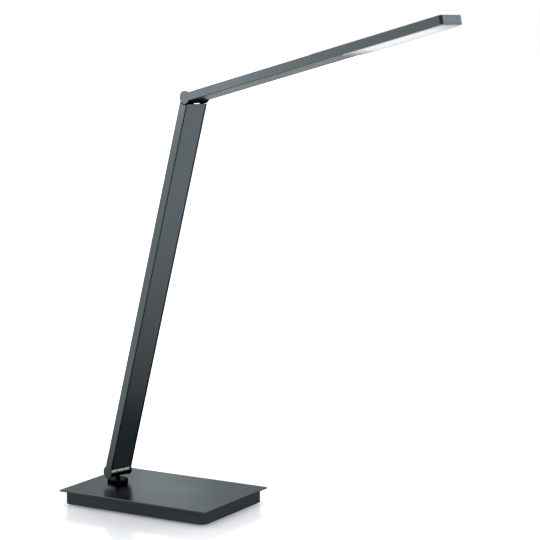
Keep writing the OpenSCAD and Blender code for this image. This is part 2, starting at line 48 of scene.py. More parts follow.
FRONT_EDGE = 0.35                   # softened edge on the open side of a channel
LOWER_HALF, UPPER_HALF = 5.5, 5.0   # half the thickness of each arm
CHEEK_GAP = 1.0                     # room round a cheek in the hollow end of the other arm
KNUCKLE_R, CORE_HALF = 6.0, 5.0     # radius of a hinge's knuckles, half length of its middle one

JOINTS = {j["name"]: j for j in frame["joints"]}
SLOT_OF = {s["node"]: s["material_slot"] for s in frame["record"]["subparts"]}


# Places: one frame for each group of pieces

class Place:
    """A frame in the row frame: its origin in metres, and its X and Y directions."""

    def __init__(self, origin, x, y):
        x = np.array(x, float) / np.linalg.norm(x)
        y = np.array(y, float) / np.linalg.norm(y)
        self.origin = np.array(origin, float)
        self.axes = np.array([x, y, np.cross(x, y)])

    def out(self, points):
        """Points from millimetres in this frame to metres in the row frame."""
        return self.origin + MM * np.asarray(points) @ self.axes

    def turn(self, normals):
        """Directions from this frame to the row frame."""
        return np.asarray(normals) @ self.axes

    def extent(self, node):
        """Lowest and highest corner of a CAD node in this frame, in millimetres."""
        mesh = frame["nodes"][node].data
        co = np.empty(len(mesh.vertices) * 3)
        mesh.vertices.foreach_get("co", co)
        own = (co.reshape(-1, 3) - self.origin) @ self.axes.T / MM
        return own.min(0), own.max(0)


def hinge_point(name):
    """A joint's position in metres."""
    return np.array(JOINTS[name]["pos_m"], float)


HINGE_AXIS = np.array(JOINTS["lower_hinge"]["axis"], float)
PRESS_AXIS = np.array(JOINTS["switch_press"]["axis"], float)
AHEAD = np.array([HINGE_AXIS[1], -HINGE_AXIS[0], 0])
LOWER_PIVOT, ELBOW_PIVOT = hinge_point("lower_hinge"), hinge_point("elbow_hinge")

BASE = Place((0, 0, 0), (1, 0, 0), (0, 1, 0))
SWIVEL = Place(hinge_point("base_swivel") * (1, 1, 0), AHEAD, HINGE_AXIS)
CRADLE = Place(LOWER_PIVOT, (0, 0, 1), HINGE_AXIS)
LOWER = Place(LOWER_PIVOT, ELBOW_PIVOT - LOWER_PIVOT, HINGE_AXIS)
ELBOW = Place(ELBOW_PIVOT, LOWER.axes[0], HINGE_AXIS)
UPPER = Place(ELBOW_PIVOT, np.cross(HINGE_AXIS, -PRESS_AXIS), HINGE_AXIS)


# Outlines: chains of arcs joined by straight lines

ARC_STEP = 12.0      # degrees between the points of an arc
HOLE_EDGE = 0.2      # softened rim of a hole through a plate
NEAR_AXIS = 0.01     # radius at which a turned profile starts or ends
SLIVER = 1e-9        # twice the area of a cap's triangle that is left out


def arc_points(arc):
    """Points and outward normals along one arc (cx, cy, r, from, to) in degrees.
    A positive radius bulges outwards, a negative one is hollow, and from = to is a single point."""
    cx, cy, r, start, end = arc
    count = 1 if start == end else max(3, math.ceil(abs(end - start) / ARC_STEP) + 1)
    a = np.radians(np.linspace(start, end, count))
    ray = np.stack([np.cos(a), np.sin(a)], 1)
    return np.array([cx, cy]) + abs(r) * ray, ray if r >= 0 else -ray


def trace(arcs):
    """The whole outline of a chain of arcs, and which arc each point belongs to."""
    parts = [arc_points(a) for a in arcs]
    owner = np.repeat(np.arange(len(arcs)), [len(p[0]) for p in parts])
    return np.concatenate([p[0] for p in parts]), np.concatenate([p[1] for p in parts]), owner


def box_outline(x, y, r):
    """Outline of a rectangle with four quarter-circle corners, anticlockwise. Its sides lie at the
    pairs x and y."""
    (x0, x1), (y0, y1) = x, y
    return [
        (x1 - r, y1 - r, r, 0, 90),
        (x0 + r, y1 - r, r, 90, 180),
        (x0 + r, y0 + r, r, 180, 270),
        (x1 - r, y0 + r, r, 270, 360),
    ]


def round_hole(x, y, r):
    """Outline of a hole, clockwise, so that its normals point into it."""
    return [(x, y, -r, 360, 180), (x, y, -r, 180, 0)]


def box_hole(x, y, r):
    """Outline of a rectangular hole with round corners, clockwise."""
    (x0, x1), (y0, y1) = x, y
    return [
        (x1 - r, y1 - r, -r, 90, 0),
        (x1 - r, y0 + r, -r, 0, -90),
        (x0 + r, y0 + r, -r, -90, -180),
        (x0 + r, y1 - r, -r, -180, -270),
    ]


# Solids: each gives (points, normals, faces) in its own frame

def per_point(edge, owner):
    """An edge radius for each outline point, from one number or from a number per arc."""
    return np.full(len(owner), float(edge)) if np.isscalar(edge) else np.array(edge, float)[owner]


def edge_rings(outline, low, high, edge_low, edge_high):
    """Rings that carry a plate's edge round its outline: a quarter circle inwards at each face.
    A ring at angle t stands e(1 - sin t) inside the outline and e(1 - cos t) off the face."""
    points, normals, owner = outline
    turn = np.radians(np.linspace(0, 90, 5))
    rings = []
    for face, side, edge in ((low, -1, edge_low), (high, 1, edge_high)):
        e = per_point(edge, owner)
        angles = turn if side < 0 else turn[::-1]
        for t in angles:
            flat = points - normals * (e * (1 - math.sin(t)))[:, None]
            height = face - side * e * (1 - math.cos(t))
            tilt = np.column_stack([normals * math.sin(t), np.full(len(e), side * math.cos(t))])
            rings.append((np.column_stack([flat, height]), tilt))
    return rings


def ring_faces(count, rings, start):
    """Quads between rings of count points that follow each other from vertex start."""
    a = np.arange(count)
    b = (a + 1) % count
    row = np.stack([a, b, b + count, a + count], 1)
    return (row + start + count * np.arange(rings - 1)[:, None, None]).reshape(-1, 4)


def plate(arcs, low, high, edge_low=0.3, edge_high=0.3, holes=()):
    """A plate of an outline's shape with rounded edges and any holes, from height low to high."""
    points, normals, faces, caps = [], [], [], [[], []]
    start = 0
    for chain, e0, e1 in [(arcs, edge_low, edge_high), *[(h, HOLE_EDGE, HOLE_EDGE) for h in holes]]:
        outline = trace(chain)
        rings = edge_rings(outline, low, high, e0, e1)
        count = len(outline[0])
        points += [r[0] for r in rings]
        normals += [r[1] for r in rings]
        faces += ring_faces(count, len(rings), start).tolist()
        for cap, k in ((0, 0), (1, len(rings) - 1)):
            caps[cap].append((rings[k][0], start + k * count + np.arange(count)))
        start += count * len(rings)
    points = np.concatenate(points)
    for cap, up in ((0, -1), (1, 1)):
        index = np.concatenate([c[1] for c in caps[cap]])
        flat = [[(p[0], p[1], 0) for p in c[0]] for c in caps[cap]]
        for tri in tessellate_polygon(flat):
            corners = index[list(tri)]
            a, b, c = points[corners][:, :2]
            area = (b[0] - a[0]) * (c[1] - a[1]) - (b[1] - a[1]) * (c[0] - a[0])
            if abs(area) > SLIVER:
                faces.append([int(i) for i in (corners if area * up > 0 else corners[::-1])])
    return points, np.concatenate(normals), faces


def carried_round(profile, angles):
    """Every (r, h) of a profile at every angle a round the Z axis: (r cos a, r sin a, h)."""
    grid = np.empty((len(profile), len(angles), 3))
    grid[..., 0] = profile[:, :1] * np.cos(angles)
    grid[..., 1] = profile[:, :1] * np.sin(angles)
    grid[..., 2] = profile[:, 1:]
    return grid.reshape(-1, 3)


def turned(arcs, sides=96, closed=False):
    """A profile of (radius, height) arcs carried round the Z axis. An open profile starts and ends
    by the axis, where a pole closes it, and runs upwards on its outer side. A closed one makes a
    ring."""
    profile, slope, _ = trace(arcs)
    angles = np.radians(np.arange(sides) * 360 / sides)
    points, normals = carried_round(profile, angles), carried_round(slope, angles)
    faces = ring_faces(sides, len(profile), 0).tolist()
    here = np.arange(sides)
    after = (here + 1) % sides
    last_ring = (len(profile) - 1) * sides
    if closed:
        faces += np.stack([last_ring + here, last_ring + after, after, here], 1).tolist()
        return points, normals, faces
    poles = np.array([[0, 0, profile[0][1]], [0, 0, profile[-1][1]]])
    pole_normals = np.array([[0, 0, -1], [0, 0, 1]])
    low_pole, high_pole = np.full((2, sides), len(points)) + [[0], [1]]
    faces += np.stack([low_pole, after, here], 1).tolist()
    faces += np.stack([high_pole, last_ring + here, last_ring + after], 1).tolist()
    return np.concatenate([points, poles]), np.concatenate([normals, pole_normals]), faces


def moved(solid, x, y=0, z=0):
    """A solid shifted in its own frame."""
    points, normals, faces = solid
    return points + np.array([x, y, z]), normals, faces


def upright(arcs, y0, y1, edge_low=0.3, edge_high=0.3):
    """A plate whose outline lies in X and Z, and whose thickness runs along Y: the plate's Y and Z
    change places, which turns it inside out, so its faces run the other way."""
    points, normals, faces = plate(arcs, y0, y1, edge_low, edge_high)
    return points[:, [0, 2, 1]], normals[:, [0, 2, 1]], [face[::-1] for face in faces]


def along_y(solid):
    """A turned solid with its axis along Y."""
    points, normals, faces = solid
    return points[:, [1, 2, 0]], normals[:, [1, 2, 0]], faces


def build(name, solids, place, body, node):
    """One mesh object of several solids in one frame, with their exact normals. It rides on its
    body and takes the place of a CAD node, whose material it wears."""
    points, normals, faces, start = [], [], [], 0
    for p, n, f in solids:
        points.append(place.out(p))
        normals.append(place.turn(n))
        faces += [[i + start for i in face] for face in f]
        start += len(p)
    normals = np.concatenate(normals)
    normals /= np.linalg.norm(normals, axis=1)[:, None]
    mesh = bpy.data.meshes.new(name)
    mesh.from_pydata(np.concatenate(points).tolist(), [], faces)
    mesh.shade_smooth()
    mesh.normals_split_custom_set_from_vertices(normals.tolist())
    piece = bpy.data.objects.new(name, mesh)
    bpy.context.scene.collection.objects.link(piece)
    mesh.materials.append(FINISHES[SLOT_OF[node]])
    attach(piece, body)
    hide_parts(node)


# Materials

def new_material(name):
    """A material with its nodes, its links and its shader."""
    material = bpy.data.materials.new(name)
    material.use_nodes = True
    nodes = material.node_tree.nodes
    return material, nodes, material.node_tree.links, nodes["Principled BSDF"]


def object_coords(nodes, links, stretch=(1, 1, 1)):
    """Object coordinates, stretched for a pattern that has a grain."""
    coords = nodes.new("ShaderNodeTexCoord")
    mapping = nodes.new("ShaderNodeMapping")
    mapping.inputs["Scale"].default_value = stretch
    links.new(coords.outputs["Object"], mapping.inputs["Vector"])
    return mapping.outputs["Vector"]


def noise(nodes, links, vector, scale, detail=3, roughness=0.5):
    """A soft noise pattern from 0 to 1; scale counts its cells in a metre."""
    node = nodes.new("ShaderNodeTexNoise")
    node.inputs["Scale"].default_value = scale
    node.inputs["Detail"].default_value = detail
    node.inputs["Roughness"].default_value = roughness
    links.new(vector, node.inputs["Vector"])
    return node.outputs["Fac"]


def maths(nodes, links, operation, a, b):
    """One Math node on two outputs of other nodes."""
    node = nodes.new("ShaderNodeMath")
    node.operation = operation
    links.new(a, node.inputs[0])
    links.new(b, node.inputs[1])
    return node.outputs["Value"]


def ramp(nodes, links, value, low, high, start=0.3, end=0.7):
    """A number that goes from low to high as value goes from start to end."""
    node = nodes.new("ShaderNodeMapRange")
    numbers = {"From Min": start, "From Max": end, "To Min": low, "To Max": high}
    for label, number in numbers.items():
        node.inputs[label].default_value = number
    links.new(value, node.inputs["Value"])
    return node.outputs["Result"]


def two_tone(nodes, links, value, dark, light, start=0.3, end=0.7):
    """A colour that goes from dark to light as value goes from start to end."""
    node = nodes.new("ShaderNodeValToRGB")
    node.color_ramp.elements[0].position = start
    node.color_ramp.elements[0].color = (*dark, 1)
    node.color_ramp.elements[1].position = end
    node.color_ramp.elements[1].color = (*light, 1)
    links.new(value, node.inputs["Fac"])
    return node.outputs["Color"]


def bump(nodes, links, height, strength, distance):
    """A normal tilted by a height pattern; distance is the depth of the relief in metres."""
    node = nodes.new("ShaderNodeBump")
    node.inputs["Strength"].default_value = strength
    node.inputs["Distance"].default_value = distance
    links.new(height, node.inputs["Height"])
    return node.outputs["Normal"]


def srgb(*levels):
    """Linear colour of an 8-bit display colour."""
    c = np.array(levels, float) / 255
    return tuple(np.where(c <= 0.04045, c / 12.92, ((c + 0.055) / 1.055) ** 2.4))


def shade(colour, factor):
    """A lighter or darker tone of a colour."""
    return tuple(c * factor for c in colour)


def paint(name, colour, rough, metallic=1.0, edge=0.6, peel=0.1):
    """Metallic lacquer: a fine mottle of two close tones, roughness that drifts, and faint orange
    peel. edge is how much mirror shine is left at a grazing view, with a little less red in it."""
    flake = 0.08
    material, nodes, links, shader = new_material(name)
    coords = object_coords(nodes, links)
    fine = noise(nodes, links, coords, 2600, 2)
    broad = noise(nodes, links, coords, 18, 3)
    tone = two_tone(nodes, links, fine, shade(colour, 1 - flake), shade(colour, 1 + flake))
    links.new(tone, shader.inputs["Base Color"])
    links.new(ramp(nodes, links, broad, rough * 0.9, rough * 1.12), shader.inputs["Roughness"])
    ripple = noise(nodes, links, coords, 900, 2)
    links.new(bump(nodes, links, ripple, peel, 0.00004), shader.inputs["Normal"])
    shader.inputs["Metallic"].default_value = metallic
    shader.inputs["Specular Tint"].default_value = (0.97 * edge, edge, edge, 1)
    return material


def metal(name, colour, rough, stretch=(1, 1, 1)):
    """Bare metal: fine scratches along the stretched axis, in tone, roughness and height."""
    grain = 0.18
    material, nodes, links, shader = new_material(name)
    lines = noise(nodes, links, object_coords(nodes, links, stretch), 900, 4, 0.6)
    tone = two_tone(nodes, links, lines, shade(colour, 1 - grain), shade(colour, 1 + grain * 0.5))
    links.new(tone, shader.inputs["Base Color"])
    links.new(ramp(nodes, links, lines, rough * 0.8, rough * 1.25), shader.inputs["Roughness"])
    links.new(bump(nodes, links, lines, 0.15, 0.00003), shader.inputs["Normal"])
    shader.inputs["Metallic"].default_value = 1.0
    return material


def moulded(name, colour, rough, grain=700, depth=0.3, vary=0.08):
    """Moulded plastic or rubber: a pebbled skin of soft cells, with faint flow marks."""
    material, nodes, links, shader = new_material(name)
    coords = object_coords(nodes, links)
    cells = nodes.new("ShaderNodeTexVoronoi")
    cells.inputs["Scale"].default_value = grain
    links.new(coords, cells.inputs["Vector"])
    flow = noise(nodes, links, coords, 60)
    tone = two_tone(nodes, links, flow, shade(colour, 1 - vary), shade(colour, 1 + vary))
    links.new(tone, shader.inputs["Base Color"])
    blotches = noise(nodes, links, coords, 300)
    links.new(ramp(nodes, links, blotches, rough * 0.88, rough * 1.12), shader.inputs["Roughness"])
    pebbles = bump(nodes, links, cells.outputs["Distance"], depth, 0.00005)
    links.new(pebbles, shader.inputs["Normal"])
    return material


def circuit_board(name):
    """Green lacquer over copper runs, which lie where square Voronoi cells meet."""
    material, nodes, links, shader = new_material(name)
    cells = nodes.new("ShaderNodeTexVoronoi")
    cells.distance = "CHEBYCHEV"
    cells.feature = "DISTANCE_TO_EDGE"
    cells.inputs["Scale"].default_value = 260
    links.new(object_coords(nodes, links), cells.inputs["Vector"])
    from_run = cells.outputs["Distance"]
    tone = two_tone(nodes, links, from_run, srgb(60, 120, 70), srgb(20, 84, 48), 0.03, 0.06)
    links.new(tone, shader.inputs["Base Color"])
    links.new(ramp(nodes, links, from_run, 0.28, 0.4, 0.02, 0.1), shader.inputs["Roughness"])
    return material


def opal_panel(name, place, node):
    """Opal acrylic lit from inside: the glow is the product of a rise from the field's start, 28 mm
    long, and a weaker fall over its last 25 mm."""
    material, nodes, links, shader = new_material(name)
    low, high = place.extent(node)
    coords = nodes.new("ShaderNodeTexCoord")
    offset = nodes.new("ShaderNodeVectorMath")
    offset.operation = "SUBTRACT"
    offset.inputs[1].default_value = tuple(place.origin)
    links.new(coords.outputs["Object"], offset.inputs[0])
    along = nodes.new("ShaderNodeVectorMath")
    along.operation = "DOT_PRODUCT"
    along.inputs[1].default_value = tuple(place.axes[0])
    links.new(offset.outputs["Vector"], along.inputs[0])
    x, start, end = along.outputs["Value"], low[0] * MM, high[0] * MM
    rise = ramp(nodes, links, x, 0, 1, start + 2 * MM, start + 30 * MM)
    fall = ramp(nodes, links, x, 1, 0.4, end - 26 * MM, end - 1 * MM)
    glow = maths(nodes, links, "MULTIPLY", rise, fall)
    mottle = noise(nodes, links, coords.outputs["Object"], 400)
    tone = two_tone(nodes, links, mottle, srgb(146, 149, 152), srgb(154, 157, 159))
    links.new(tone, shader.inputs["Base Color"])
    links.new(ramp(nodes, links, glow, 0.02, 0.58, 0, 1), shader.inputs["Emission Strength"])
    shader.inputs["Specular IOR Level"].default_value = 0.2
    shader.inputs["Emission Color"].default_value = (1, 0.995, 0.98, 1)
    links.new(ramp(nodes, links, mottle, 0.32, 0.4), shader.inputs["Roughness"])
    return material


ANTHRACITE = srgb(97, 104, 108)
FINISHES = {
    "base_paint": paint("base_paint", ANTHRACITE, 0.24, edge=0.47, peel=0.05),
    "frame_paint": paint("frame_paint", srgb(73, 80, 84), 0.4, metallic=0.6),
    "hinge_black": paint("hinge_black", srgb(24, 25, 27), 0.3, metallic=0.95, edge=0.33),
    "arm_paint": paint("arm_paint", ANTHRACITE, 0.3, edge=0.66),
    "hinge_steel": metal("hinge_steel", srgb(196, 198, 200), 0.34, (1, 0.1, 1)),
    "dark_steel": metal("dark_steel", srgb(92, 95, 98), 0.32, (1, 0.1, 1)),
    "zinc": metal("zinc", srgb(186, 188, 184), 0.36, (0.3, 1, 1)),
    "iron": paint("iron", srgb(70, 70, 72), 0.6, metallic=0.3, peel=0.8),
    "rubber": moulded("rubber", srgb(30, 30, 32), 0.7, 900, 0.4),
    "black_plastic": moulded("black_plastic", srgb(24, 25, 27), 0.45),
    "white_plastic": moulded("white_plastic", srgb(226, 228, 226), 0.4),
    "opal": opal_panel("opal", UPPER, "diffuser_panel"),
    "white_rim": moulded("white_rim", srgb(232, 234, 235), 0.25, 500, 0.1, 0.03),
    "pcb": circuit_board("pcb"),
    "led": moulded("led", srgb(236, 206, 96), 0.3, 500, 0.1),
    "led_board": metal("led_board", srgb(206, 208, 208), 0.4),
    "button_metal": metal("button_metal", srgb(150, 154, 158), 0.3, (1, 1, 0.2)),
    "wire": moulded("wire", srgb(46, 46, 50), 0.5),
    "driver_parts": moulded("driver_parts", srgb(70, 48, 34), 0.5),
}
for node, cad_object in frame["nodes"].items():
    cad_object.data.materials.clear()
    cad_object.data.materials.append(FINISHES[SLOT_OF[node]])


# Base

def make_base_plate():
    """The thin sheet with nearly square corners, a softened upper edge, and the swivel's hole."""
    low, high = BASE.extent("base_plate")
    corner_r, hole_r, under_edge, upper_edge = 1.0, 7.0, 0.2, 0.7
    arcs = box_outline((low[0], high[0]), (low[1], high[1]), corner_r)
    hole = round_hole(SWIVEL.origin[0] / MM, 0, hole_r)
    sheet = plate(arcs, low[2], high[2], under_edge, upper_edge, [hole])
    build("base_plate_sheet", [sheet], BASE, "base", "base_plate")


def make_antislip_pad():
    """A rubber mat with a waffle underneath: grooves run where a cosine of x or y peaks. The waffle
    is a closed block set into the mat's plate, so its grooves end at the plate's underside."""
    low, high = BASE.extent("antislip_pad")
    corner_r, pitch, groove, inset, overlap, block = 6, 6.0, 0.5, 3.0, 0.2, 1.0
    rise_from, rise_over, count_x, count_y = 0.55, 0.35, 157, 115
    outline = box_outline((low[0], high[0]), (low[1], high[1]), corner_r)
    mat = plate(outline, low[2] + groove, high[2], 0.4, 0.3)
    x0, y0, x1, y1 = low[0] + inset, low[1] + inset, high[0] - inset, high[1] - inset
    x, y = np.meshgrid(np.linspace(x0, x1, count_x), np.linspace(y0, y1, count_y), indexing="ij")
    crest = np.maximum(np.cos(2 * np.pi * x / pitch), np.cos(2 * np.pi * y / pitch))
    depth = groove + overlap
    z = low[2] + depth * np.clip((crest - rise_from) / rise_over, 0, 1)
    z[[0, -1], :] = z[:, [0, -1]] = low[2] + depth
    zx = np.gradient(z, x[:, 0], axis=0)
    zy = np.gradient(z, y[0], axis=1)
    points = np.stack([x, y, z], 2).reshape(-1, 3)
    normals = np.stack([zx, zy, -np.ones_like(z)], 2).reshape(-1, 3)
    rows, cols = x.shape
    i = (np.arange(rows - 1)[:, None] * cols + np.arange(cols - 1)).reshape(-1)
    under = np.stack([i, i + 1, i + cols + 1, i + cols], 1)
    rim = np.concatenate([
        np.arange(cols), cols * np.arange(1, rows) + cols - 1,
        np.arange(rows * cols - 2, (rows - 1) * cols - 1, -1), cols * np.arange(rows - 2, 0, -1)])
    top_points = points[rim] + (0, 0, block)
    start = len(points)
    k = np.arange(len(rim))
    n = (k + 1) % len(rim)
    walls = np.stack([rim[k], rim[n], start + n, start + k], 1)
    faces = under.tolist() + walls[:, ::-1].tolist() + [(start + k).tolist()]
    top_normals = np.tile([0, 0, 1.0], (len(rim), 1))
    waffle = (np.concatenate([points, top_points]), np.concatenate([normals, top_normals]), faces)
    build("antislip_mat", [mat, waffle], BASE, "base", "antislip_pad")


def make_cable_gland():
    """A bushing with a round flange and a ribbed tail: a profile turned round Y, with half-round
    ribs. Its heights count from the plinth's rear wall."""
    low, high = BASE.extent("cable_gland")
    wall_y = BASE.extent("plinth_frame")[1][1]
    centre = (low + high) / 2
    flange_r = (high[0] - low[0]) / 2
    shank_r, bore_r, tail_r = flange_r - 1.1, 2.75, flange_r - 1.5
    inner, outer = low[1] - wall_y, high[1] - wall_y
    first_rib, rib_pitch, rib_r = 2.6, 1.3, 0.25
    ribs = []
    for y in (first_rib, first_rib + rib_pitch):
        ribs += [
            (tail_r - 2 * rib_r, y, -rib_r, 90, 0),
            (tail_r - rib_r, y + rib_pitch / 2, rib_r, -90, 90),
        ]
    arcs = [
        (bore_r, inner, 0, 180, 180),
        (shank_r - 0.4, inner + 0.4, 0.4, 270, 360),
        (shank_r, 0, 0, 0, 0),
        (flange_r - 0.3, 0.3, 0.3, 270, 360),
        (flange_r - 0.6, 1.6, 0.6, 0, 90),
        *ribs,
        (tail_r - 0.5, outer - 0.4, 0.4, 0, 90),
        (bore_r + 0.3, outer - 0.3, 0.3, 90, 180),
    ]
    ring = along_y(turned(arcs, 48, closed=True))
    build("ribbed_gland", [moved(ring, centre[0], wall_y, centre[2])], BASE, "base", "cable_gland")


# Swivel and hinges

def c_shell(r_out, r_in, cut):
    """Outline of a part of a tube's wall, open to the side of +x. Its lips are full rounds, with
    their centres on the wall's middle circle where x = cut."""
    lip = (r_out - r_in) / 2
    mid = r_in + lip
    a = math.degrees(math.acos(cut / mid))
    cx, cy = mid * math.cos(math.radians(a)), mid * math.sin(math.radians(a))
    return [
        (0, 0, r_out, a, 360 - a),
        (cx, -cy, lip, 360 - a, 540 - a),
        (0, 0, -r_in, 360 - a, a),
        (cx, cy, lip, a + 180, a + 360),
    ]


def cradle_solids(r_out, half_y):
    """The half-round cradle of a hinge, with the seat that its middle knuckle stands on: the slice
    of a cylinder that lies beyond the flat."""
    r_in, cut, flat = KNUCKLE_R + 0.3, -0.9, 5.1
    mid = (r_out + r_in) / 2
    a = math.degrees(math.acos(-flat / mid))
    shell = upright(c_shell(r_out, r_in, cut), -half_y, half_y, 0.25, 0.25)
    seat = upright([(0, 0, mid, a, 360 - a)], -CORE_HALF, CORE_HALF, 0, 0)
    return [shell, seat]


def cradle_in_swivel(solid):
    """A solid of the lower hinge's cradle, in the swivel's frame."""
    points, normals, faces = solid
    own = (CRADLE.out(points) - SWIVEL.origin) @ SWIVEL.axes.T / MM
    return own, normals @ CRADLE.axes @ SWIVEL.axes.T, faces


def make_swivel_head():
    """The round foot that turns on the plate, a profile turned round Z with a hollow fillet up to
    its neck, and the black cradle on top."""
    low, _ = SWIVEL.extent("swivel_head")
    disc_r, neck_r, top, neck_top = -low[0], 2.8, 24.5, 30
    edge, under_edge, fillet = 1.3, 0.3, 0.8
    foot = [
        (NEAR_AXIS, low[2], 0, 270, 270),
        (disc_r - under_edge, low[2] + under_edge, under_edge, 270, 360),
        (disc_r - edge, top - edge, edge, 0, 90),
        (neck_r + fillet, top + fillet, -fillet, 270, 180),
        (neck_r, neck_top, 0, 0, 0),
        (NEAR_AXIS, neck_top, 0, 90, 90),
    ]
    cradle = cradle_solids(7.0, CRADLE.extent("swivel_head")[1][1])
    pieces = [turned(foot, 128), *(cradle_in_swivel(solid) for solid in cradle)]
    build("swivel_foot", pieces, SWIVEL, "swivel", "swivel_head")


def knuckle(y0, y1):
    """A knuckle of a barrel hinge: a ring with softened rims, turned round the hinge's axis."""
    bore, edge = 3.05, 0.35
    arcs = [
        (bore, y0, 0, 180, 180),
        (KNUCKLE_R - edge, y0 + edge, edge, 270, 360),
        (KNUCKLE_R - edge, y1 - edge, edge, 0, 90),
        (bore, y1, 0, 180, 180),
    ]
    return along_y(turned(arcs, 72, closed=True))


def make_bracket(name, node, place, half, body):
    """Two outer knuckles on a tongue against the back of an arm, whose half thickness is half."""
    _, high = place.extent(node)
    outer, inner = high[1], CORE_HALF + 1.0
    tongue_start, tongue_sheet = 3.0, 2
    top = half - WALL
    outline = box_outline((tongue_start, high[0]), (-outer, outer), 0.8)
    tongue = plate(outline, top - tongue_sheet, top, 0.2, 0.2)
    build(name, [knuckle(inner, outer), knuckle(-outer, -inner), tongue], place, body, node)


def make_elbow_cradle():
    """The elbow's black cradle on its two feet, the block and tongue that hold it in the lower arm,
    and thin black liners in the hollow ends of the arm's walls, painted shade in the gap round the
    upper arm's cheeks."""
    feet_x, block_x, tongue_x = (-13, -6.4), (-18, -11.6), (-45, -17)
    wide_foot_y, narrow_foot_y, block_y = (-15.4, -3.0), (11.3, 14.2), (-15.7, 15.7)
    low, foot_top, top, tongue_sheet = -2.5, 1.5, LOWER_HALF - WALL, 2
    solids = cradle_solids(7.5, ELBOW.extent("elbow_cradle")[1][1])
    for foot_y in (wide_foot_y, narrow_foot_y):
        solids.append(plate(box_outline(feet_x, foot_y, 0.4), low, foot_top, 0.3, 0.3))
    # Painted shade: thin black shells on the walls' hollow edges, where the gap round the upper arm's cheeks lies
    # in shade
    painted_shade_liner = c_shell(8.9, 8.3, -7.3)
    for painted_shade_liner_y in ((-17.3, -16.15), (16.15, 17.3)):
        solids.append(upright(painted_shade_liner, *painted_shade_liner_y, 0.15, 0.15))
    block = plate(box_outline(block_x, block_y, 0.4), low, top, 0.3, 0.3)
    tongue = plate(box_outline(tongue_x, block_y, 0.6), top - tongue_sheet, top, 0.2, 0.2)
    build("elbow_barrel", [*solids, block, tongue], ELBOW, "lower_arm", "elbow_cradle")


# Arms

def cheek(r, half, blend):
    """Arcs of a round cheek at x = 0 on a wall of half thickness, blended into it by hollow arcs.
    A blend circle stands r + blend from the cheek's centre, half + blend from the wall's middle."""
    x = math.sqrt((r + blend) ** 2 - (half + blend) ** 2)
    a = math.degrees(math.atan2(half + blend, x))
    return [
        (x, half + blend, -blend, 270, 180 + a),
        (0, 0, r, a, 360 - a),
        (x, -half - blend, -blend, 180 - a, 90),
    ]


def hollow_end(x, r, half, horn):
    """Arcs of a wall's end that is hollowed round the next hinge at x, between two small horns.
    A horn's circle stands r + horn from the hinge and half - horn from the wall's middle."""
    dx = math.sqrt((r + horn) ** 2 - (half - horn) ** 2)
    a = math.degrees(math.atan2(half - horn, dx))
    return [
        (x - dx, horn - half, horn, 270, 360 + a),
        (x, 0, -r, 180 + a, 180 - a),
        (x - dx, half - horn, horn, -a, 90),
    ]


def side_walls(arcs, outer, rear):
    """Both side walls of a channel. rear says which arcs lie on its closed side, where the wall's
    edge takes the bend's radii instead of the small ones."""
    far_face = [BEND if at_rear else FRONT_EDGE for at_rear in rear]
    near_face = [BEND_IN if at_rear else FRONT_EDGE for at_rear in rear]
    return [
        upright(arcs, -outer, -outer + WALL, far_face, near_face),
        upright(arcs, outer - WALL, outer, near_face, far_face),
    ]


def make_lower_channel():
    """The lower arm: two walls with round cheeks below and hollow ends above, joined by a back."""
    _, (_, outer, r) = LOWER.extent("lower_channel")
    half = LOWER_HALF
    length = np.linalg.norm(ELBOW_PIVOT - LOWER_PIVOT) / MM
    back_start, back_end, bend_end = 8, length - 11.5, length - 16
    arcs = [
        *cheek(r, half, 2.0),
        *hollow_end(length, r + CHEEK_GAP, half, 0.5),
        (bend_end, half, 0, 90, 90),
    ]
    walls = side_walls(arcs, outer, [True, False, False, False, False, False, True])
    line = outer - BEND
    outline = box_outline((back_start, back_end), (-line, line), 0.3)
    back = plate(outline, half - WALL, half, 0.2, 0)
    build("lower_arm_channel", [*walls, back], LOWER, "lower_arm", "lower_channel")


def make_cover(name, node, place, body, inset, edge):
    """A folded cover: its face lies between the walls, and two flanges stand inside them. The inset
    widens the seam beside the face, and edge rounds its front."""
    low, high = place.extent(node)
    sheet, flange, flange_x, overlap = 1.0, 1.2, (14, high[0] - 12), 0.2
    outline = box_outline((low[0], high[0]), (low[1] + inset, high[1] - inset), 0.5)
    solids = [plate(outline, low[2], low[2] + sheet, edge, 0.2)]
    flange_low = low[2] + sheet - overlap
    for y in (low[1], high[1] - flange):
        outline = box_outline(flange_x, (y, y + flange), 0.2)
        solids.append(plate(outline, flange_low, high[2], 0, 0.2))
    build(name, solids, place, body, node)


